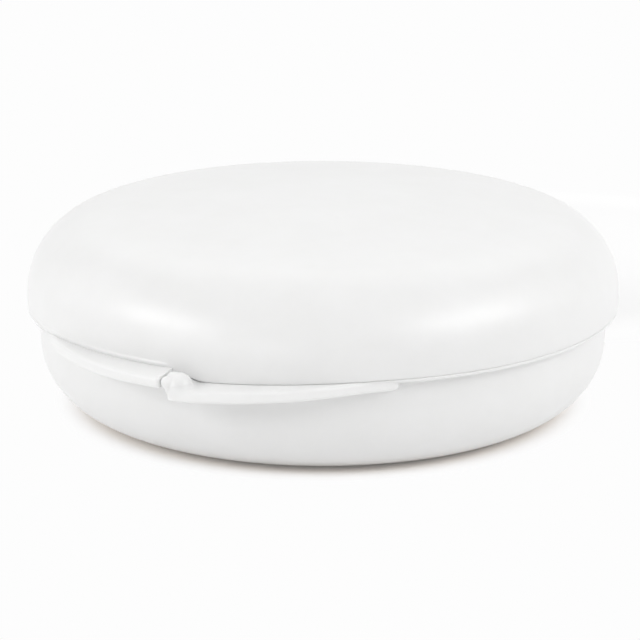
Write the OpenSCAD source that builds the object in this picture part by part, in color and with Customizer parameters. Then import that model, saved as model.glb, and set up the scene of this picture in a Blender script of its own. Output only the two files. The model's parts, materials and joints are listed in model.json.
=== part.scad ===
// Round two-shell retainer case: a bowl, an overhanging domed lid, a pinned hinge at the
// back and a split pair of thumb lips with a catch boss at the front.
// Millimetres. The foot stands on z = 0, the case's axis is Z, the lips face -Y, the hinge +Y.

/* [Case] */
// Diameter of the lid's rim
lid_d = 86; // [76:1:100]
// Height from the foot to the seam
base_h = 15; // [14:0.5:20]
// Wall of both shells
wall = 1.6; // [1.2:0.1:2]
// How far the lid's rim stands out past the bowl's wall
overhang = 1.75; // [1.5:0.05:3]
// Radius of the bowl's lower corner
corner_r = 10; // [6:0.5:12]
// Radius of the lid's shoulder
shoulder_r = 11; // [6:0.5:14]
// Straight height of the lid's side above the seam
side_h = 1.8; // [1.2:0.1:4]
// Radius of the lid's crown
crown_r = 300; // [200:10:600]

/* [Seam] */
// Thickness of the bowl's flange
flange_t = 0.6; // [0.5:0.1:1]
// Round on the flange's edge
flange_round = 0.2; // [0.1:0.05:0.25]
// Round on the lower edge of the lid's rim
rim_round = 0.5; // [0.2:0.05:0.8]
// Height of the bowl's spigot above the seam
spigot_h = 2; // [1:0.1:3]
// Clearance round the spigot and beside the bowl's wall
fit_gap = 0.3; // [0.2:0.05:0.4]

/* [Foot] */
// Width of the foot ring
foot_w = 3.2; // [2:0.1:6]
// Depth of the panel inside the foot ring
panel_depth = 0.5; // [0.2:0.1:0.8]

/* [Thumb lips] */
// How far the lips stand out past the lid's rim
lip_reach = 4.7; // [3:0.1:6]
// Radius of the lips' outline
lip_arc_r = 30.4; // [28:0.1:34]
// Thickness of the lid's lip
lid_lip_t = 1.45; // [1:0.05:1.6]
// Height of the lid lip's top above the seam
lid_lip_rise = 0.45; // [0.2:0.05:0.6]
// Thickness of the bowl's lip
base_lip_t = 1.3; // [1:0.05:1.8]
// Depth of the bowl lip's top below the seam at the front
base_lip_drop = 1.15; // [0.8:0.05:1.3]
// Slope of the bowl's lip, up towards its tip
base_lip_tilt = 2.5; // [2:0.1:3]
// Round on the lips' edges
lip_round = 0.35; // [0.2:0.05:0.45]
// Round on the outer corner of the bowl lip's end, in plan
end_round = 0.8; // [0.4:0.1:1.2]
// Gap between the bowl's lip and the lid's skirt above it
lip_gap = 0.25; // [0.2:0.05:0.4]

/* [Catch] */
// Radius of the catch boss
boss_r = 1.75; // [1.4:0.05:2]
// Radius of the detent bump on the boss's side
bump_r = 0.9; // [0.7:0.05:1]
// Place of the boss to the right of the front
boss_x = 1.9; // [1.6:0.1:3]
// Height of the boss's centre above the bowl's lip
boss_rise = 0.3; // [0:0.05:0.5]
// How far the boss stands out past the end of the bowl's lip
boss_out = 1.15; // [0.8:0.05:1.4]
// How far the bump stands out past the boss
bump_out = 0.25; // [0.1:0.05:0.4]
// Gap between the bump and the end of the lid's lip
catch_gap = 0.3; // [0.2:0.05:0.5]

/* [Hinge] */
// Diameter of the hinge pin
pin_d = 2; // [1.6:0.1:2.4]
// Diameter of the hinge knuckles
knuckle_d = 4.4; // [4:0.1:5.2]
// Length of the lid's middle knuckle
mid_l = 12; // [8:0.5:20]
// Length of each of the bowl's outer knuckles
ear_l = 5; // [3:0.5:8]
// Side gap between knuckles, and between a knuckle and the rim
hinge_gap = 0.3; // [0.2:0.05:0.5]
// Radial running clearance of the pin in the middle knuckle
pin_run = 0.05; // [0.02:0.01:0.1]
// Radial interference of the pin in the outer knuckles
pin_press = 0.01; // [0.005:0.005:0.02]
// Height of the webs that carry the knuckles
web_h = 6; // [4:0.5:7]

/* [Hidden] */
$fn = 128;
lid_r = lid_d / 2;
base_r = lid_r - overhang;
rim_in = lid_r - wall;
spigot_r = rim_in - fit_gap;
foot_r = base_r - corner_r;
skirt_in = base_r + fit_gap;
floor_z = panel_depth + wall;
far = lid_d;

// The lips share one outline: a circle that runs out of the rim at both tips.
lip_centre_y = lip_arc_r - lid_r - lip_reach;
base_lip_z = base_h - base_lip_drop;
lid_lip_z = base_h + lid_lip_rise - lid_lip_t;

// Half the width of the lips' outline where it crosses a circle about the case's axis.
function tip_x(r) =
    let (y = (r * r + lip_centre_y * lip_centre_y - lip_arc_r * lip_arc_r) / (2 * lip_centre_y))
    sqrt(r * r - y * y);

// The boss stands near the outer edge of the bowl's lip, with the bump on its left.
boss_y = -lid_r - lip_reach / 2;
boss_z = base_lip_z + boss_rise;
bump_x = boss_x - boss_r - bump_out + bump_r;
bump_y = boss_y - boss_r + bump_r;
bump_z = boss_z + bump_r / 2;
base_lip_end = boss_x - boss_r + boss_out;
lid_lip_end = bump_x - bump_r - catch_gap;
crease_end = lid_lip_end - wall / 2;

// The hinge axis lies in the seam plane, just clear of the rim.
knuckle_r = knuckle_d / 2;
pin_r = pin_d / 2;
axis_y = lid_r + hinge_gap + knuckle_r;
hinge_l = mid_l + 2 * (hinge_gap + ear_l);

// Solid outline of the bowl, drawn in from its outer face by an inset.
module bowl_outline(inset) {
    r = base_r - inset;
    c = corner_r - inset;
    square_to(foot_r, inset, base_h);
    square_to(r, corner_r, base_h);
    intersection() {
        translate([foot_r, corner_r]) circle(c);
        translate([foot_r, inset]) square(c);
    }
}

// Rectangle from the axis to radius r, between two heights.
module square_to(r, low, high) {
    translate([0, low]) square([r, high - low]);
}

// Solid outline of the lid: straight side, shoulder arc, and a crown arc tangent to it.
module lid_outline(inset) {
    shoulder_x = lid_r - shoulder_r;
    shoulder_z = base_h + side_h;
    lean = asin(shoulder_x / (crown_r - shoulder_r));
    crown_z = shoulder_z - (crown_r - shoulder_r) * cos(lean);
    square_to(lid_r - inset, base_h, shoulder_z);
    intersection() {
        translate([shoulder_x, shoulder_z]) circle(shoulder_r - inset);
        translate([shoulder_x, shoulder_z]) square(shoulder_r);
    }
    intersection() {
        translate([0, crown_z]) circle(crown_r - inset, $fn = 720);
        translate([0, shoulder_z]) square([(crown_r - inset) * sin(lean), shoulder_r * 2]);
    }
}

// Corner to take off an outer edge: r and z are the sharp corner, up is +1 where the body is above.
module edge_cut(r, z, round, up) {
    difference() {
        translate([r - round, up > 0 ? z : z - round]) square(round);
        translate([r - round, z + up * round]) circle(round);
    }
}

// Everything at the front between two places across the case.
module front_slice(x0, x1, z0, z1) {
    translate([x0, -far, z0]) cube([x1 - x0, far, z1 - z0]);
}

// Disc with the lips' outline and rounded edges, its top at z = 0.
module lip_disc(t) {
    translate([0, lip_centre_y, 0]) rotate_extrude() difference() {
        square_to(lip_arc_r, -t, 0);
        edge_cut(lip_arc_r, 0, lip_round, -1);
        edge_cut(lip_arc_r, -t, lip_round, 1);
    }
}

// Places a child in the sloping plane of the bowl lip's top.
module on_base_lip() {
    translate([0, 0, base_lip_z]) rotate([0, -base_lip_tilt, 0]) children();
}

// Space above the bowl's lip, lifted by a gap.
module above_base_lip(gap) {
    on_base_lip() translate([-far, -far, gap]) cube([2 * far, far, base_h]);
}

// Ring between two radii and two heights.
module ring(r_in, r_out, z0, z1) {
    rotate_extrude() translate([r_in, z0]) square([r_out - r_in, z1 - z0]);
}

// Knuckle and its web in the hinge's side view: up is +1 for the lid, -1 for the bowl.
// The web's sloping face runs from the wall to the knuckle and touches it on a tangent.
module knuckle_side(up, wall_y) {
    back = wall_y - axis_y;
    touch = atan2(web_h, back) - acos(knuckle_r / norm([back, web_h]));
    circle(knuckle_r);
    polygon([
        [back, up * hinge_gap],
        [0, up * hinge_gap],
        [knuckle_r * cos(touch), up * knuckle_r * sin(touch)],
        [back, up * web_h]
    ]);
}

// Length of hinge along X with the given side view, from x0 on.
module hinge_run(x0, length, up, wall_y) {
    translate([x0, axis_y, base_h]) rotate([90, 0, 90]) linear_extrude(length) knuckle_side(up, wall_y);
}

// Round bar along the hinge's axis.
module hinge_bar(r, length) {
    translate([-length / 2, axis_y, base_h]) rotate([0, 90, 0]) cylinder(r = r, h = length);
}

module base_shell() {
    rotate_extrude() difference() {
        union() {
            bowl_outline(0);
            square_to(lid_r, base_h - flange_t, base_h);
            square_to(spigot_r, base_h - flange_t, base_h + spigot_h);
        }
        intersection() {
            bowl_outline(wall);
            square_to(base_r, floor_z, base_h);
        }
        square_to(base_r - wall, base_h - wall, base_h + spigot_h);
        square_to(foot_r - foot_w, 0, panel_depth);
        edge_cut(lid_r, base_h, flange_round, -1);
        edge_cut(lid_r, base_h - flange_t, flange_round, 1);
        edge_cut(spigot_r, base_h + spigot_h, spigot_r - base_r + wall, -1);
    }
}

// Room at the front for the lid's lip on the left and its skirt on the right.
module seam_relief() {
    intersection() {
        difference() {
            ring(base_r, far, base_lip_z - base_lip_t, base_h);
            front_slice(-far, base_lip_end, 0, lid_lip_z - fit_gap);
        }
        union() {
            front_slice(-tip_x(skirt_in) - fit_gap, base_lip_end, 0, base_h);
            intersection() {
                front_slice(base_lip_end, tip_x(base_r), 0, base_h);
                above_base_lip(0);
            }
        }
    }
}

// Rounds the outer corner of the bowl's lip, seen from above.
module lip_end_cut() {
    x = base_lip_end + end_round;
    inner_r = lip_arc_r - end_round;
    y = lip_centre_y - sqrt(inner_r * inner_r - x * x);
    linear_extrude(base_h) difference() {
        translate([base_lip_end, y - lip_reach]) square([end_round, lip_reach]);
        translate([x, y]) circle(end_round);
    }
}

module base_lip() {
    intersection() {
        difference() {
            on_base_lip() lip_disc(base_lip_t);
            cylinder(r = base_r - wall / 2, h = far);
            lip_end_cut();
        }
        front_slice(base_lip_end, far, 0, base_h);
    }
}

module catch_boss() {
    translate([boss_x, boss_y, boss_z]) sphere(boss_r);
    translate([bump_x, bump_y, bump_z]) sphere(bump_r);
}

module base_ears() {
    difference() {
        for (x0 = [-hinge_l / 2, mid_l / 2 + hinge_gap]) hinge_run(x0, ear_l, -1, base_r - wall / 2);
        hinge_bar(pin_r - pin_press, 2 * hinge_l);
    }
}

module base() {
    color("whitesmoke") union() {
        difference() {
            base_shell();
            seam_relief();
        }
        base_lip();
        catch_boss();
        base_ears();
    }
}

module lid_shell() {
    rotate_extrude() difference() {
        lid_outline(0);
        lid_outline(wall);
        edge_cut(lid_r, base_h, rim_round, 1);
    }
}

// Part of the rim that comes down to the bowl's sloping lip.
module lid_skirt() {
    intersection() {
        ring(skirt_in, lid_r, base_lip_z, base_h + rim_round);
        front_slice(crease_end, tip_x(base_r), 0, far);
        above_base_lip(lip_gap);
    }
}

module lid_lip() {
    intersection() {
        difference() {
            translate([0, 0, base_h + lid_lip_rise]) lip_disc(lid_lip_t);
            cylinder(r = skirt_in, h = far);
        }
        front_slice(-far, lid_lip_end, 0, far);
    }
}

// Crease where the rim's rounded edge meets the top of the lid's lip.
module lip_crease() {
    intersection() {
        rotate_extrude() edge_cut(lid_r, base_h + lid_lip_rise, rim_round, 1);
        front_slice(-tip_x(lid_r), crease_end, 0, far);
    }
}

module lid_knuckle() {
    difference() {
        hinge_run(-mid_l / 2, mid_l, 1, rim_in + wall / 2);
        hinge_bar(pin_r + pin_run, hinge_l);
    }
}

module lid() {
    color("white") union() {
        difference() {
            union() {
                lid_shell();
                lid_lip();
            }
            lip_crease();
        }
        lid_skirt();
        lid_knuckle();
    }
}

module hinge_pin() {
    color("silver") hinge_bar(pin_r, hinge_l);
}

base();
lid();
hinge_pin();
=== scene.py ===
"""Looks of a round retainer case in white satin polypropylene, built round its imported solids."""
import json
import math

import bmesh
import bpy
from mathutils import Matrix, Vector


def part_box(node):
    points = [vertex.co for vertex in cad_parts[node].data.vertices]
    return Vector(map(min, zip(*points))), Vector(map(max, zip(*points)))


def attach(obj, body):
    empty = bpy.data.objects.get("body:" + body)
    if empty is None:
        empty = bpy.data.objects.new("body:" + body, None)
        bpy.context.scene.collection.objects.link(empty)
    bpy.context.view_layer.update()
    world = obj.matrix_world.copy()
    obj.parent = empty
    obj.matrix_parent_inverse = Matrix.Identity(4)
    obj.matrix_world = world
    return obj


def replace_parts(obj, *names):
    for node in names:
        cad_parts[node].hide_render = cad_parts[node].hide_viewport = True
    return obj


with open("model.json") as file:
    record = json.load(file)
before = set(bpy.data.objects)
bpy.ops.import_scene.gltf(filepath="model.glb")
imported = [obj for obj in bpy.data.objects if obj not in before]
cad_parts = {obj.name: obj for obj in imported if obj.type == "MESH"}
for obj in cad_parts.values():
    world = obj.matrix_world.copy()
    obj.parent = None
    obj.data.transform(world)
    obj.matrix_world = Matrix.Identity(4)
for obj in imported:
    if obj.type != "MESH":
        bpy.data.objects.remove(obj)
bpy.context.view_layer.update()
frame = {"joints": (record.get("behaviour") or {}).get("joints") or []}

# Sizes in metres and angles in radians, read from the frame where it holds them.
MM = 0.001
LID_LOW, LID_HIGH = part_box("lid")
PIN_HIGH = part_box("hinge_pin")[1]
HINGE = Vector(frame["joints"][0]["pos_m"])
SEAM_Z = HINGE.z
SEAM_CENTRE = Vector((0, 0, SEAM_Z))
LID_R = -LID_LOW.x
CROWN_TOP = LID_HIGH.z
MERGE = 0.001 * MM
CREASE = math.radians(35)

# Shells
WALL = 1.6 * MM
CROWN_R = 300 * MM
SHOULDER_R = 11 * MM
SIDE_H = 1.8 * MM
BASE_R = LID_R - 1.75 * MM
CORNER_R = 10 * MM
FOOT_R = BASE_R - CORNER_R
FOOT_W = 3.2 * MM
PANEL_DEPTH = 0.5 * MM
FOOT_ROUND = 0.2 * MM
RIM_IN = LID_R - WALL
RIM_ROUND = 0.13 * MM
FLANGE_T = 0.5 * MM
FLANGE_ROUND = 0.2 * MM
FIT_GAP = 0.3 * MM
SPIGOT_R = RIM_IN - FIT_GAP
SPIGOT_H = 2 * MM
SECTORS = 18
SECTOR_STEPS = 30

# Thumb lips: one outline, the lid's half on the left and the bowl's half on the right. Each is divided
# finely over its first turn from the boss, and stops at an angle just past its tip.
LIP_ARC_R = 30.4 * MM
LIP_CENTRE = Vector((0, LID_LOW.y + LIP_ARC_R, 0))
LIP_REACH = -LID_LOW.y - LID_R
LIP_ROUND = 0.42 * MM
LIP_DRAFT = math.radians(10)
LIP_END_TURN = math.radians(8)
LID_LIP_T = 1.45 * MM
LID_LIP_RISE = 0.46 * MM
LID_LIP_TILT = math.radians(0.45)
LID_LIP_IN = BASE_R + FIT_GAP
LID_LIP_END = -0.16 * MM
LID_END_ROUND = 0.3 * MM
LID_END_SLANT = -0.44 * MM
LID_TIP_R = LID_R + 0.3 * MM
LID_TIP_X = 25.7 * MM
LID_LIP_STOP = math.radians(58.4)
BOWL_LIP_T = 1.5 * MM
BOWL_LIP_DROP = 1.15 * MM
BOWL_LIP_TILT = math.radians(2.5)
BOWL_LIP_IN = BASE_R - WALL / 2
BOWL_LIP_END = 0.72 * MM
BOWL_END_ROUND = 1.3 * MM
BOWL_TIP_R = LID_R + 0.2 * MM
BOWL_TIP_X = 26.8 * MM
BOWL_LIP_STOP = math.radians(62.5)
TIP_ROUND = 0.9 * MM
TIP_BLEND = 0.25 * MM

# Lower edge of the lid at the front, which steps from one lip to the other beside the boss, the flange's
# edge under it, and the bead over the lid's lip.
SCARF_FROM = 29 * MM
SCARF_TO = 22.5 * MM
LID_EDGE_DROP = 0.9 * MM
STEP_FROM = -2 * MM
STEP_TO = -0.6 * MM
FLANGE_SINK = 1.1
LIP_GAP = 0.012 * MM
WEDGE_H = 0.015 * MM
WEDGE_W = 8 * MM
NOTCH_H = 0.6 * MM
NOTCH_W = 1.36 * MM
NOTCH_X = 1.5 * MM
NOTCH_SLOT = 0.1 * MM
BEAD_OUT = 0.15 * MM
BEAD_MID = 0.36 * MM
BEAD_W = 0.2 * MM
FILLET_OUT = 0.09 * MM
FILLET_W = 0.16 * MM
BEAD_FROM = -30 * MM
BEAD_FULL = -26 * MM
BEAD_END = -1.2 * MM
BEAD_FADE = 0.4 * MM

# Catch boss with its bump and flank, on the left end of the bowl's lip. Each stands back from the lips'
# front edge and has its centre below the seam.
BOSS_R = 1.85 * MM
BOSS_X = 1.8 * MM
BOSS_BACK = 0.35 * MM
BOSS_DROP = 1.03 * MM
BOSS = Vector((BOSS_X, LID_LOW.y + BOSS_R + BOSS_BACK, SEAM_Z - BOSS_DROP))
BUMP_R = 0.85 * MM
BUMP_X = 0.76 * MM
BUMP_BACK = 0.18 * MM
BUMP_DROP = 0.3 * MM
BUMP = Vector((BUMP_X, LID_LOW.y + BUMP_R + BUMP_BACK, SEAM_Z - BUMP_DROP))
FLANK_R = 0.98 * MM
FLANK_X = 0.88 * MM
FLANK_BACK = 1.42 * MM
FLANK_DROP = 0.2 * MM
FLANK = Vector((FLANK_X, LID_LOW.y + FLANK_R + FLANK_BACK, SEAM_Z - FLANK_DROP))
BOSS_BLEND = 0.1 * MM
BOSS_FILLET = 0.6 * MM
NECK_OUT = 1.2 * MM

# Hinge
KNUCKLE_R = LID_HIGH.y - HINGE.y
PIN_R = PIN_HIGH.z - HINGE.z
MID_L = 12 * MM
EAR_L = 5 * MM
HINGE_GAP = 0.3 * MM
WEB_H = 6 * MM
PIN_RUN = 0.05 * MM
KNUCKLE_ROUND = 0.25 * MM
KNUCKLE_CORNER = math.radians(60)
PIN_ROUND = 0.2 * MM

# Camera that matches the photograph, measured from the seam's centre, with lens and sensor in millimetres.
CAMERA_AZIMUTH = math.radians(26.5)
CAMERA_ELEVATION = math.radians(15.37)
CAMERA_DISTANCE = 344 * MM
LENS = 131.9
SENSOR_W = 36
AIM_LEFT = 0.44 * MM
AIM_DOWN = 3.8 * MM

# Finishes: sizes of the patterns, how deep light enters the plastic, and what use takes from its roughness
# or adds to it.
GRAIN = 0.3 * MM
GRAIN_DEPTH = 0.02 * MM
CLOUD = 9 * MM
THUMB_POLISH = -0.012
FOOT_WEAR = 0.15
CROWN_WEAR = 0.22
CROWN_WEAR_FROM = CROWN_TOP - 4 * MM
CROWN_WEAR_FULL = CROWN_TOP - 1 * MM
LIGHT_DEPTH = 1 * MM
DIE_LINE_W = 0.06 * MM
DIE_LINE_L = 4 * MM
DIE_LINE_DEPTH = 0.01 * MM

# Studio: how bright the surround looks, the light that it gives from the horizon and from overhead, the
# floor with the warmer, darker white painted as shadow round its foot and the painted glow that lightens
# that shadow, and the distances over which the floor's shadow ends round the foot and beside the open lid.
SURROUND_WHITE = "#fdfdfd"
# Painted shadow: the floor's white round the foot is painted warmer and darker where the case's shadow
# falls.
PAINTED_SHADOW_WHITE = "#fbf5ef"
SEEN_LEVEL = 1.0
SKY_SIDE = 0.0
SKY_TOP = 0.91
FLOOR_R = 1.5
FLOOR_SINK = 0.02 * MM
# Painted light: a glow on the floor, seen only by the camera and in reflections, lightens the shadow at the
# foot.
SHADOW_LIFT = 0.08
SHADOW_FROM = 34.5 * MM
SHADOW_TO = 39.4 * MM
OPEN_LID_FROM = 38 * MM
OPEN_LID_TO = 56 * MM


def ramp(value, low, high):
    """Smooth rise from 0 at low to 1 at high."""
    t = min(max((value - low) / (high - low), 0), 1)
    return t * t * (3 - 2 * t)


def hump(value, middle, width):
    """Smooth hump of height 1 round its middle."""
    return math.exp(-(((value - middle) / width) ** 2))


def soft_excess(value, bend):
    """A value where it is above 0 and 0 where it is below, with a smooth bend between."""
    return bend * math.log(1 + math.exp(value / bend))


def bowl_lip_top(x):
    """Height of the bowl lip's top over the seam, across the case."""
    return x * math.tan(BOWL_LIP_TILT) - BOWL_LIP_DROP


def lid_lip_top(x):
    """Height of the lid lip's top over the seam, across the case."""
    return x * math.tan(LID_LIP_TILT) + LID_LIP_RISE


def notch(x):
    """Height of the notch in the lid's lower edge that takes the neck of the boss, across the case."""
    return NOTCH_H * hump(x, NOTCH_X, NOTCH_W)


def lid_edge(x, outward):
    """Height of the lid's lower edge over the seam, across the front of the case. The gap over the bowl's
    lip opens from the rim's inside, where outward is 0, to its outside, where it is 1."""
    left = -LID_EDGE_DROP * ramp(x, -SCARF_FROM, -SCARF_TO)
    gap = LIP_GAP + WEDGE_H * hump(x, 0, WEDGE_W) * outward + notch(x)
    right = min(bowl_lip_top(x) + gap, 0)
    return left + (right - left) * ramp(x, STEP_FROM, STEP_TO)


def bowl_edge(x):
    """Height of the flange's top over the seam, across the front of the case."""
    left = -(LID_EDGE_DROP + LIP_GAP) * ramp(x, -SCARF_FROM, -SCARF_TO)
    right = min(bowl_lip_top(x) * FLANGE_SINK, 0)
    return left if x < BOWL_LIP_END else right


def place_across(vert):
    """Where a point's direction from the axis meets the lid's rim, across the case."""
    return LID_R * math.sin(math.atan2(vert.co.x, -vert.co.y))


def outline_start(shape, r, z):
    """Starts a turned outline in the XZ plane."""
    return shape.verts.new((r, 0, z))


def outline_line(shape, point, r, z, parts=1):
    """Draws the outline on in a straight line, in equal parts, and returns its new end."""
    step = (Vector((r, 0, z)) - point.co) / parts
    for _ in range(parts):
        grown = bmesh.ops.extrude_vert_indiv(shape, verts=[point])["verts"][0]
        grown.co = point.co + step
        point = grown
    return point


def outline_arc(shape, point, r, z, degrees, parts):
    """Draws the outline on round the centre (r, z); a positive angle turns outwards and down."""
    angle = math.radians(degrees)
    turned = bmesh.ops.spin(shape, geom=[point], cent=(r, 0, z), axis=(0, 1, 0), angle=angle, steps=parts)
    return turned["geom_last"][0]


def turn_round(shape, sectors, steps):
    """Spins the outline through one sector and repeats that sector round the Z axis."""
    sector = math.tau / sectors
    around = {"cent": (0, 0, 0), "axis": (0, 0, 1)}
    bmesh.ops.spin(shape, geom=shape.verts[:] + shape.edges[:], angle=sector, steps=steps, **around)
    first = shape.verts[:] + shape.edges[:] + shape.faces[:]
    bmesh.ops.spin(
        shape, geom=first, angle=math.tau - sector, steps=sectors - 1, use_duplicate=True, **around,
    )
    bmesh.ops.remove_doubles(shape, verts=shape.verts[:], dist=MERGE)


def round_edges(shape, edges, radius, segments):
    """Rounds edges over."""
    bmesh.ops.bevel(
        shape, geom=edges, offset=radius, offset_type="OFFSET", segments=segments, profile=0.5,
        affect="EDGES", clamp_overlap=False, material=-1,
    )


def add_piece(shape, name, body, material):
    """Turns a finished shape into a piece that rides on a body. Faces with more than four corners are flat
    ends, so they aren't smoothed."""
    bmesh.ops.remove_doubles(shape, verts=shape.verts[:], dist=MERGE)
    bmesh.ops.recalc_face_normals(shape, faces=shape.faces[:])
    mesh = bpy.data.meshes.new(name)
    shape.to_mesh(mesh)
    shape.free()
    mesh.materials.append(material)
    for face in mesh.polygons:
        face.use_smooth = len(face.vertices) <= 4
    mesh.set_sharp_from_angle(angle=CREASE)
    piece = bpy.data.objects.new(name, mesh)
    bpy.context.scene.collection.objects.link(piece)
    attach(piece, body)
    return piece


def lid_shell():
    """Domed lid, turned, with its lower edge drawn down to the lips at the front."""
    shape = bmesh.new()
    shoulder_x = LID_R - SHOULDER_R
    shoulder_z = SEAM_Z + SIDE_H
    crown_z = CROWN_TOP - CROWN_R
    lean = math.degrees(math.asin(shoulder_x / (CROWN_R - SHOULDER_R)))
    point = outline_start(shape, 0, CROWN_TOP)
    point = outline_arc(shape, point, 0, crown_z, lean, parts=24)
    point = outline_arc(shape, point, shoulder_x, shoulder_z, 90 - lean, parts=40)
    point = outline_line(shape, point, LID_R, SEAM_Z + RIM_ROUND, parts=24)
    point = outline_arc(shape, point, LID_R - RIM_ROUND, SEAM_Z + RIM_ROUND, 90, parts=6)
    point = outline_line(shape, point, RIM_IN, SEAM_Z, parts=2)
    point = outline_line(shape, point, RIM_IN, shoulder_z, parts=4)
    point = outline_arc(shape, point, shoulder_x, shoulder_z, lean - 90, parts=24)
    outline_arc(shape, point, 0, crown_z, -lean, parts=12)
    turn_round(shape, SECTORS, SECTOR_STEPS)
    front_rim = [v for v in shape.verts if v.co.y < 0 and v.co.z < shoulder_z - MERGE]
    for vert in front_rim:
        x = place_across(vert)
        radius = math.hypot(vert.co.x, vert.co.y)
        held = max(vert.co.z - SEAM_Z - RIM_ROUND, 0) / (SIDE_H - RIM_ROUND)
        vert.co.z += lid_edge(x, (radius - RIM_IN) / WALL) * (1 - held)
        over_lip = vert.co.z - SEAM_Z - lid_lip_top(x)
        share = ramp(x, BEAD_FROM, BEAD_FULL) * (1 - ramp(x, BEAD_END - BEAD_FADE, BEAD_END))
        out = BEAD_OUT * hump(over_lip, BEAD_MID, BEAD_W) + FILLET_OUT * hump(over_lip, 0, FILLET_W)
        if radius > LID_R - MERGE:
            vert.co.xy *= 1 + out * share / radius
    return shape


def bowl_shell():
    """Shallow bowl, turned, whose flange gives way to the lips at the front."""
    shape = bmesh.new()
    foot_in = FOOT_R - FOOT_W
    flange_z = SEAM_Z - FLANGE_T
    floor_z = PANEL_DEPTH + WALL
    floor_turn = math.degrees(math.asin((CORNER_R - floor_z) / (CORNER_R - WALL)))
    spigot_round = SPIGOT_R - BASE_R + WALL
    spigot_z = SEAM_Z + SPIGOT_H - spigot_round
    point = outline_start(shape, 0, PANEL_DEPTH)
    point = outline_line(shape, point, foot_in, PANEL_DEPTH, parts=4)
    point = outline_line(shape, point, foot_in, FOOT_ROUND)
    point = outline_arc(shape, point, foot_in + FOOT_ROUND, FOOT_ROUND, -90, parts=5)
    point = outline_line(shape, point, FOOT_R, 0, parts=2)
    point = outline_arc(shape, point, FOOT_R, CORNER_R, -90, parts=40)
    point = outline_line(shape, point, BASE_R, flange_z - FLANGE_ROUND, parts=8)
    point = outline_arc(shape, point, BASE_R + FLANGE_ROUND, flange_z - FLANGE_ROUND, 90, parts=5)
    point = outline_line(shape, point, LID_R - FLANGE_ROUND, flange_z, parts=2)
    point = outline_arc(shape, point, LID_R - FLANGE_ROUND, flange_z + FLANGE_ROUND, -90, parts=5)
    point = outline_line(shape, point, LID_R, SEAM_Z - FLANGE_ROUND)
    point = outline_arc(shape, point, LID_R - FLANGE_ROUND, SEAM_Z - FLANGE_ROUND, -90, parts=5)
    point = outline_line(shape, point, SPIGOT_R, SEAM_Z, parts=3)
    point = outline_line(shape, point, SPIGOT_R, spigot_z, parts=2)
    point = outline_arc(shape, point, SPIGOT_R - spigot_round, spigot_z, -90, parts=10)
    point = outline_line(shape, point, BASE_R - WALL, CORNER_R, parts=8)
    point = outline_arc(shape, point, FOOT_R, CORNER_R, floor_turn, parts=24)
    outline_line(shape, point, 0, floor_z, parts=6)
    turn_round(shape, SECTORS, SECTOR_STEPS)
    low = flange_z - FLANGE_ROUND
    for vert in shape.verts:
        radius = math.hypot(vert.co.x, vert.co.y)
        in_seam = low + MERGE < vert.co.z < SEAM_Z + MERGE and radius > SPIGOT_R - MERGE
        if vert.co.y < 0 and in_seam:
            x = place_across(vert)
            top = bowl_edge(x)
            keep = ramp(top, -FLANGE_T, -FLANGE_T / 2)
            bottom = min(low, SEAM_Z + top - FLANGE_ROUND)
            level = (vert.co.z - low) / (SEAM_Z - low)
            vert.co.z = bottom + level * (SEAM_Z + top - bottom)
            if radius > BASE_R:
                vert.co.xy *= (BASE_R + (radius - BASE_R) * keep) / radius
    return shape


def lip_plate(end_x, inner_r, side, thickness, end_round, end_slant, tip_x, tip_r, stop):
    """Crescent plate from its end near the boss to the tip on one side, its top at z = 0. Its rounded
    section is spun about the lips' own centre. Then each spoke is drawn out or in to start at inner_r, the
    end is rounded and slanted, the front face leans back by the draft, and the tip is held out to tip_r and
    rounded off at tip_x."""
    shape = bmesh.new()
    root = LIP_ARC_R - LIP_REACH
    edge = LIP_ARC_R - LIP_ROUND
    point = outline_start(shape, root, 0)
    point = outline_line(shape, point, edge, 0, parts=72)
    point = outline_arc(shape, point, edge, -LIP_ROUND, 90, parts=6)
    point = outline_line(shape, point, LIP_ARC_R, LIP_ROUND - thickness, parts=2)
    point = outline_arc(shape, point, edge, LIP_ROUND - thickness, 90, parts=6)
    outline_line(shape, point, root, -thickness, parts=16)
    section = bmesh.ops.contextual_create(shape, geom=shape.verts[:])["faces"]
    start = math.asin(end_x / LIP_ARC_R)
    face_end = Matrix.Rotation(start - math.pi / 2, 3, "Z")
    bmesh.ops.rotate(shape, verts=shape.verts[:], cent=(0, 0, 0), matrix=face_end)
    around = {"cent": (0, 0, 0), "axis": (0, 0, 1)}
    near = bmesh.ops.spin(shape, geom=section, angle=side * LIP_END_TURN, steps=48, **around)["geom_last"]
    bmesh.ops.spin(shape, geom=near, angle=side * (stop - LIP_END_TURN) - start, steps=120, **around)
    bmesh.ops.translate(shape, verts=shape.verts[:], vec=LIP_CENTRE)
    for vert in shape.verts:
        spoke = (vert.co - LIP_CENTRE).xy
        way = spoke.normalized()
        along = way.dot(LIP_CENTRE.xy)
        inner = math.sqrt(along ** 2 - LIP_CENTRE.length_squared + inner_r ** 2) - along
        inward = max(edge - spoke.length, 0)
        vert.co.xy -= way * inward * ((edge - inner) / (edge - root) - 1)
        from_end = side * (vert.co.x - end_x)
        corner = max(end_round - from_end, 0)
        inset = end_round - math.sqrt(max(end_round ** 2 - corner ** 2, 0))
        outer = ramp((vert.co - LIP_CENTRE).xy.length, max(inner, root), edge)
        outline = LIP_CENTRE.xy + way * LIP_ARC_R
        past = min(max(1 - (tip_x - abs(outline.x)) / TIP_ROUND, 0), 1)
        draft = (vert.co.z + thickness) * math.tan(LIP_DRAFT) * (1 - past)
        vert.co.xy -= way * (inset + draft) * outer
        vert.co.x += end_slant * (1 - outer) * (1 - ramp(from_end, 0, LIP_REACH))
        short = soft_excess(tip_r - outline.length, TIP_BLEND)
        blunt = short * math.sqrt(1 - past ** 2)
        vert.co.xy += outline.normalized() * blunt * outer
    return shape


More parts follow.
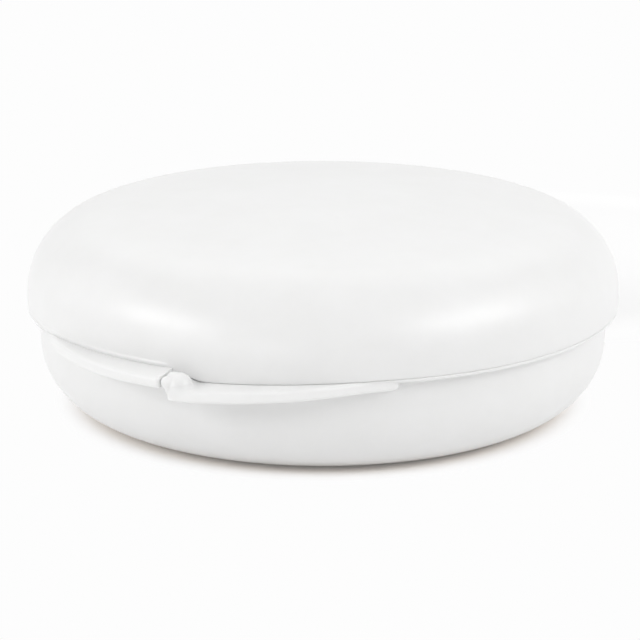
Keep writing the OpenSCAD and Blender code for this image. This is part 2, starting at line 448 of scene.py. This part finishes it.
def tilt_lip(shape, tilt, height):
    """Slopes a lip's plate across the case and lifts it to its height over the seam."""
    lift = Matrix.Translation((0, 0, SEAM_Z + height))
    slope = Matrix.Rotation(-tilt, 4, "Y")
    bmesh.ops.transform(shape, matrix=lift @ slope, verts=shape.verts[:])
    return shape


def lid_lip():
    """Left lip, which opens the lid."""
    shape = lip_plate(
        LID_LIP_END, LID_LIP_IN, side=-1, thickness=LID_LIP_T, end_round=LID_END_ROUND,
        end_slant=LID_END_SLANT, tip_x=LID_TIP_X, tip_r=LID_TIP_R, stop=LID_LIP_STOP,
    )
    return tilt_lip(shape, LID_LIP_TILT, LID_LIP_RISE)


def bowl_lip():
    """Right lip, which slopes down to the boss and rises to it in a fillet and to its neck behind."""
    shape = lip_plate(
        BOWL_LIP_END, BOWL_LIP_IN, side=1, thickness=BOWL_LIP_T, end_round=BOWL_END_ROUND, end_slant=0,
        tip_x=BOWL_TIP_X, tip_r=BOWL_TIP_R, stop=BOWL_LIP_STOP,
    )
    for vert in shape.verts:
        off_boss = max((vert.co - BOSS).xy.length - BOSS_R, 0)
        in_fillet = max(BOSS_FILLET - off_boss, 0)
        rise = BOSS_FILLET - math.sqrt(BOSS_FILLET ** 2 - in_fillet ** 2)
        neck = max(notch(place_across(vert)) - NOTCH_SLOT, 0)
        under_rim = 1 - ramp(vert.co.xy.length, LID_R, LID_R + NECK_OUT)
        vert.co.z += max(rise, neck * under_rim) * ramp(vert.co.z, -BOWL_LIP_T, 0)
    return tilt_lip(shape, BOWL_LIP_TILT, -BOWL_LIP_DROP)


def catch_boss():
    """Round boss that runs smoothly into the bump that holds the lid's lip and into the flank behind it."""
    shape = bmesh.new()
    bmesh.ops.create_icosphere(shape, subdivisions=5, radius=BOSS_R)
    for vert in shape.verts:
        way = vert.co.normalized()
        for centre, radius in ((BUMP, BUMP_R), (FLANK, FLANK_R)):
            nose = centre - BOSS
            along = way.dot(nose)
            reach = along + math.sqrt(max(along ** 2 - nose.length_squared + radius ** 2, 0))
            vert.co += way * soft_excess(reach - vert.co.length, BOSS_BLEND)
    bmesh.ops.translate(shape, verts=shape.verts[:], vec=BOSS)
    return shape


def knuckle(x, length, up, wall_y, bore_r):
    """Hinge knuckle with the web that runs from it to a shell: up is 1 for the lid, -1 for the bowl."""
    shape = bmesh.new()
    back = wall_y - HINGE.y
    near = -math.sqrt(KNUCKLE_R ** 2 - HINGE_GAP ** 2)
    touch = math.atan2(WEB_H, back) - math.acos(KNUCKLE_R / math.hypot(back, WEB_H))
    sweep = math.tau - math.atan2(HINGE_GAP, near) + touch
    start = shape.verts.new(HINGE + Vector((x, back, up * HINGE_GAP)))
    ring = shape.verts.new(HINGE + Vector((x, near, up * HINGE_GAP)))
    shape.edges.new((start, ring))
    turned = bmesh.ops.spin(shape, geom=[ring], cent=HINGE, axis=(1, 0, 0), angle=up * sweep, steps=40)
    foot = shape.verts.new(HINGE + Vector((x, back, up * WEB_H)))
    shape.edges.new((turned["geom_last"][0], foot))
    shape.edges.new((foot, start))
    bore = shape.verts.new(HINGE + Vector((x, bore_r, 0)))
    bmesh.ops.spin(
        shape, geom=[bore], cent=HINGE, axis=(1, 0, 0), angle=math.tau, steps=32, use_merge=True,
    )
    bmesh.ops.triangle_fill(shape, use_beauty=True, edges=shape.edges[:], normal=(1, 0, 0))
    grown = bmesh.ops.extrude_face_region(shape, geom=shape.faces[:])["geom"]
    moved = [part for part in grown if isinstance(part, bmesh.types.BMVert)]
    bmesh.ops.translate(shape, verts=moved, vec=(length, 0, 0))
    ends = [
        edge for edge in shape.edges
        if abs(edge.verts[0].co.x - edge.verts[1].co.x) < MERGE and edge.calc_face_angle(0) > KNUCKLE_CORNER
    ]
    round_edges(shape, ends, KNUCKLE_ROUND, segments=4)
    return shape


def hinge_pin():
    """Wire pin with tumbled ends, turned upright and laid along the hinge."""
    shape = bmesh.new()
    half = PIN_HIGH.x
    point = outline_start(shape, 0, half)
    point = outline_line(shape, point, PIN_R - PIN_ROUND, half, parts=2)
    point = outline_arc(shape, point, PIN_R - PIN_ROUND, half - PIN_ROUND, 90, parts=5)
    point = outline_line(shape, point, PIN_R, PIN_ROUND - half, parts=12)
    point = outline_arc(shape, point, PIN_R - PIN_ROUND, PIN_ROUND - half, 90, parts=5)
    outline_line(shape, point, 0, -half, parts=2)
    turn_round(shape, sectors=6, steps=8)
    lay = Matrix.Translation(HINGE) @ Matrix.Rotation(math.pi / 2, 4, "Y")
    bmesh.ops.transform(shape, matrix=lay, verts=shape.verts[:])
    return shape


def linear(hex_colour):
    """Turns an sRGB hex colour into the linear RGBA that shaders take."""
    channels = [int(hex_colour[i:i + 2], 16) / 255 for i in (1, 3, 5)]
    return [c / 12.92 if c <= 0.04045 else ((c + 0.055) / 1.055) ** 2.4 for c in channels] + [1]


def node(tree, kind, settings=None, **inputs):
    """Adds a node: settings are its own properties, inputs are values or other nodes' output sockets."""
    made = tree.nodes.new(kind)
    for name, value in (settings or {}).items():
        setattr(made, name, value)
    for name, value in inputs.items():
        key = int(name[1:]) if name[0] == "i" and name[1:].isdigit() else name.replace("_", " ")
        if isinstance(value, bpy.types.NodeSocket):
            tree.links.new(value, made.inputs[key])
        else:
            made.inputs[key].default_value = value
    return made


def new_material(name):
    """Empty node material and its tree."""
    material = bpy.data.materials.new(name)
    material.use_nodes = True
    material.node_tree.nodes.clear()
    return material, material.node_tree


def moulded_polypropylene():
    """White polypropylene from a finely eroded mould: satin and a little translucent, with soft broad
    highlights. The mould's 0.1 mm grain is too fine to show, so it is drawn at 0.3 mm. Flow in the mould
    leaves faint clouds in the tone and the gloss. Fingers have polished the thumb lips, and wear in bags
    and on tables has dulled the crown and the foot."""
    material, tree = new_material("moulded_polypropylene_white")
    place = node(tree, "ShaderNodeTexCoord").outputs["Object"]
    grain = node(tree, "ShaderNodeTexNoise", Vector=place, Scale=1 / GRAIN, Detail=3, Roughness=0.6)
    clouds = node(tree, "ShaderNodeTexNoise", Vector=place, Scale=1 / CLOUD, Detail=5, Roughness=0.65)
    tone = node(
        tree, "ShaderNodeMix", {"data_type": "RGBA"}, i0=clouds.outputs["Fac"], i6=linear("#e9e9e8"),
        i7=linear("#f0f0f0"),
    )
    axes = node(tree, "ShaderNodeSeparateXYZ", Vector=place)
    thumbed = node(
        tree, "ShaderNodeMapRange", {"interpolation_type": "SMOOTHSTEP"}, Value=axes.outputs["Y"],
        From_Min=-LID_R, From_Max=LID_LOW.y, To_Min=0, To_Max=THUMB_POLISH,
    )
    stood_on = node(
        tree, "ShaderNodeMapRange", {"interpolation_type": "SMOOTHSTEP"}, Value=axes.outputs["Z"],
        From_Min=0, From_Max=PANEL_DEPTH, To_Min=FOOT_WEAR, To_Max=0,
    )
    scuffed = node(
        tree, "ShaderNodeMapRange", {"interpolation_type": "SMOOTHSTEP"}, Value=axes.outputs["Z"],
        From_Min=CROWN_WEAR_FROM, From_Max=CROWN_WEAR_FULL, To_Min=0, To_Max=CROWN_WEAR,
    )
    gloss = node(tree, "ShaderNodeMapRange", Value=clouds.outputs["Fac"], To_Min=0.28, To_Max=0.34)
    for part in (thumbed.outputs["Result"], stood_on.outputs["Result"], scuffed.outputs["Result"]):
        gloss = node(tree, "ShaderNodeMath", {"operation": "ADD"}, i0=gloss.outputs[0], i1=part)
    bump = node(tree, "ShaderNodeBump", Strength=0.1, Distance=GRAIN_DEPTH, Height=grain.outputs["Fac"])
    plastic = node(
        tree, "ShaderNodeBsdfPrincipled", Base_Color=tone.outputs[2], Roughness=gloss.outputs[0], IOR=1.52,
        Subsurface_Weight=0.3, Subsurface_Radius=(1, 1, 1), Subsurface_Scale=LIGHT_DEPTH,
        Normal=bump.outputs["Normal"],
    )
    node(tree, "ShaderNodeOutputMaterial", Surface=plastic.outputs["BSDF"])
    return material


def drawn_wire():
    """Stainless wire, drawn through a die and cropped: grey metal with fine bright and dull lines along it.
    The lines are drawn 0.06 mm wide and 4 mm long, coarser than the die's own, so that they show."""
    material, tree = new_material("stainless_wire_drawn")
    place = node(tree, "ShaderNodeTexCoord").outputs["Object"]
    along = node(tree, "ShaderNodeMapping", Vector=place, Scale=(DIE_LINE_W / DIE_LINE_L, 1, 1))
    lines = node(tree, "ShaderNodeTexNoise", Vector=along.outputs["Vector"], Scale=1 / DIE_LINE_W, Detail=3)
    tone = node(
        tree, "ShaderNodeMix", {"data_type": "RGBA"}, i0=lines.outputs["Fac"], i6=linear("#b9bbbd"),
        i7=linear("#d6d8d9"),
    )
    gloss = node(tree, "ShaderNodeMapRange", Value=lines.outputs["Fac"], To_Min=0.2, To_Max=0.42)
    bump = node(tree, "ShaderNodeBump", Strength=0.3, Distance=DIE_LINE_DEPTH, Height=lines.outputs["Fac"])
    steel = node(
        tree, "ShaderNodeBsdfPrincipled", Base_Color=tone.outputs[2], Metallic=1,
        Roughness=gloss.outputs["Result"], Normal=bump.outputs["Normal"],
    )
    node(tree, "ShaderNodeOutputMaterial", Surface=steel.outputs["BSDF"])
    return material


def direction(azimuth, elevation):
    """Unit vector away from the case: the azimuth turns from the front to the right, the elevation up."""
    level = math.cos(elevation)
    return Vector((math.sin(azimuth) * level, -math.cos(azimuth) * level, math.sin(elevation)))


def photo_camera():
    """Camera at the photograph's angle, aimed a little below and left of the seam's centre."""
    toward = direction(CAMERA_AZIMUTH, CAMERA_ELEVATION)
    right = Vector((math.cos(CAMERA_AZIMUTH), math.sin(CAMERA_AZIMUTH), 0))
    up = toward.cross(right)
    camera = bpy.data.objects.new("photo_camera", bpy.data.cameras.new("photo_camera"))
    camera.data.sensor_width = SENSOR_W
    camera.data.lens = LENS
    camera.location = SEAM_CENTRE + toward * CAMERA_DISTANCE
    aim = SEAM_CENTRE - right * AIM_LEFT - up * AIM_DOWN
    camera.rotation_euler = (aim - camera.location).to_track_quat("-Z", "Y").to_euler()
    bpy.context.scene.collection.objects.link(camera)
    bpy.context.scene.camera = camera


def softbox(name, azimuth, elevation, distance, width, height, radiance):
    """Soft light that looks at the case, placed in degrees and metres. Its power comes from the brightness
    of its face."""
    light = bpy.data.lights.new(name, "AREA")
    light.shape = "RECTANGLE"
    light.size = width
    light.size_y = height
    light.energy = radiance * math.pi * width * height
    toward = direction(math.radians(azimuth), math.radians(elevation))
    lamp = bpy.data.objects.new(name, light)
    lamp.location = SEAM_CENTRE + toward * distance
    lamp.rotation_euler = toward.to_track_quat("Z", "Y").to_euler()
    bpy.context.scene.collection.objects.link(lamp)


def seen_rays(tree):
    """1 for rays that show the surround itself, to the camera, in reflections or through glass, else 0."""
    path = node(tree, "ShaderNodeLightPath")
    seen = path.outputs["Is Camera Ray"]
    for kind in ("Is Glossy Ray", "Is Transmission Ray"):
        either = node(tree, "ShaderNodeMath", {"operation": "MAXIMUM"}, i0=seen, i1=path.outputs[kind])
        seen = either.outputs[0]
    return seen


def white_studio():
    """Surround that looks white, whose light rises from none at the horizon to its full strength above."""
    world = bpy.data.worlds.new("white_studio")
    world.use_nodes = True
    tree = world.node_tree
    tree.nodes.clear()
    toward = node(tree, "ShaderNodeTexCoord").outputs["Generated"]
    axes = node(tree, "ShaderNodeSeparateXYZ", Vector=toward)
    sky = node(tree, "ShaderNodeMapRange", Value=axes.outputs["Z"], To_Min=SKY_SIDE, To_Max=SKY_TOP)
    level = node(tree, "ShaderNodeMix", i0=seen_rays(tree), i2=sky.outputs["Result"], i3=SEEN_LEVEL)
    surround = node(tree, "ShaderNodeBackground", Color=linear(SURROUND_WHITE), Strength=level.outputs[0])
    node(tree, "ShaderNodeOutputWorld", Surface=surround.outputs["Background"])
    bpy.context.scene.world = world


def distance_share(tree, centre, near, far):
    """Share that rises from 0 to 1 between two distances from a point."""
    place = node(tree, "ShaderNodeTexCoord").outputs["Object"]
    away = node(tree, "ShaderNodeVectorMath", {"operation": "DISTANCE"}, i0=place, i1=centre)
    share = node(
        tree, "ShaderNodeMapRange", {"interpolation_type": "SMOOTHSTEP"}, Value=away.outputs["Value"],
        From_Min=near, From_Max=far, To_Min=0, To_Max=1,
    )
    return share.outputs["Result"]


def pale_floor():
    """White table that takes the case's shadow round its foot and under the open lid, and is as white as
    the surround further out. Round the foot its white is painted warmer and darker as painted shadow, and a
    painted glow, seen only by the camera and in reflections, lightens that shadow."""
    shape = bmesh.new()
    bmesh.ops.create_circle(shape, cap_ends=True, segments=96, radius=FLOOR_R)
    bmesh.ops.translate(shape, verts=shape.verts[:], vec=(0, 0, -FLOOR_SINK))
    mesh = bpy.data.meshes.new("floor")
    shape.to_mesh(mesh)
    shape.free()
    floor = bpy.data.objects.new("floor", mesh)
    bpy.context.scene.collection.objects.link(floor)
    material, tree = new_material("white_table_painted")
    off_foot = distance_share(tree, (0, 0, 0), SHADOW_FROM, SHADOW_TO)
    open_lid = (0, 2 * HINGE.y, 0)
    off_lid = distance_share(tree, open_lid, OPEN_LID_FROM, OPEN_LID_TO)
    clear = node(tree, "ShaderNodeMath", {"operation": "MINIMUM"}, i0=off_foot, i1=off_lid)
    seen = seen_rays(tree)
    share = node(tree, "ShaderNodeMath", {"operation": "MULTIPLY"}, i0=seen, i1=clear.outputs[0])
    at_foot = node(tree, "ShaderNodeMath", {"operation": "MULTIPLY"}, i0=seen, i1=off_lid)
    lift = node(tree, "ShaderNodeMath", {"operation": "MULTIPLY"}, i0=at_foot.outputs[0], i1=SHADOW_LIFT)
    # Painted shadow: the white turns warmer and darker round the foot, where the case's shadow falls.
    colour = node(
        tree, "ShaderNodeMix", {"data_type": "RGBA"}, i0=off_foot, i6=linear(PAINTED_SHADOW_WHITE),
        i7=linear(SURROUND_WHITE),
    )
    paint = node(tree, "ShaderNodeBsdfDiffuse", Color=colour.outputs[2])
    # Painted light: a glow seen only by the camera and in reflections lifts the shadow at the foot.
    painted_glow = node(tree, "ShaderNodeEmission", Color=linear(SURROUND_WHITE), Strength=lift.outputs[0])
    shaded = node(tree, "ShaderNodeAddShader", i0=paint.outputs["BSDF"], i1=painted_glow.outputs["Emission"])
    white = node(tree, "ShaderNodeEmission", Color=linear(SURROUND_WHITE), Strength=SEEN_LEVEL)
    surface = node(
        tree, "ShaderNodeMixShader", i0=share.outputs[0], i1=shaded.outputs["Shader"],
        i2=white.outputs["Emission"],
    )
    node(tree, "ShaderNodeOutputMaterial", Surface=surface.outputs["Shader"])
    mesh.materials.append(material)


PLASTIC = moulded_polypropylene()
STEEL = drawn_wire()


def plastic_piece(shape, name, body):
    """Piece of the white plastic on a body."""
    return add_piece(shape, name, body, PLASTIC)


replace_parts(plastic_piece(lid_shell(), "lid_shell", "lid"), "lid")
plastic_piece(lid_lip(), "lid_lip", "lid")
plastic_piece(knuckle(-MID_L / 2, MID_L, 1, RIM_IN + WALL / 2, PIN_R + PIN_RUN), "lid_knuckle", "lid")
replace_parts(plastic_piece(bowl_shell(), "bowl_shell", "base"), "base")
plastic_piece(bowl_lip(), "bowl_lip", "base")
plastic_piece(catch_boss(), "catch_boss", "base")
for side, x in (("left", -PIN_HIGH.x), ("right", MID_L / 2 + HINGE_GAP)):
    plastic_piece(knuckle(x, EAR_L, -1, BASE_R - WALL / 2, PIN_R), "bowl_knuckle_" + side, "base")
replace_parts(add_piece(hinge_pin(), "wire_pin", "base", STEEL), "hinge_pin")

photo_camera()
white_studio()
pale_floor()
# Two bright softboxes make the highlights on the lid's front, and the others fill the shade.
softbox("back_softbox", azimuth=200, elevation=48, distance=0.7, width=0.8, height=0.5, radiance=0.56)
softbox("left_softbox", azimuth=-38, elevation=25.5, distance=0.6, width=0.4, height=0.16, radiance=4.0)
softbox("left_fill", azimuth=-62, elevation=25, distance=0.6, width=0.8, height=0.4, radiance=0.52)
softbox("right_softbox", azimuth=88, elevation=31, distance=0.6, width=0.42, height=0.18, radiance=3.3)
softbox("right_fill", azimuth=100, elevation=33, distance=0.6, width=0.8, height=0.4, radiance=0.82)
softbox("front_softbox", azimuth=-14, elevation=8, distance=0.6, width=0.6, height=0.16, radiance=1.0)
bpy.context.scene.view_settings.view_transform = "Standard"
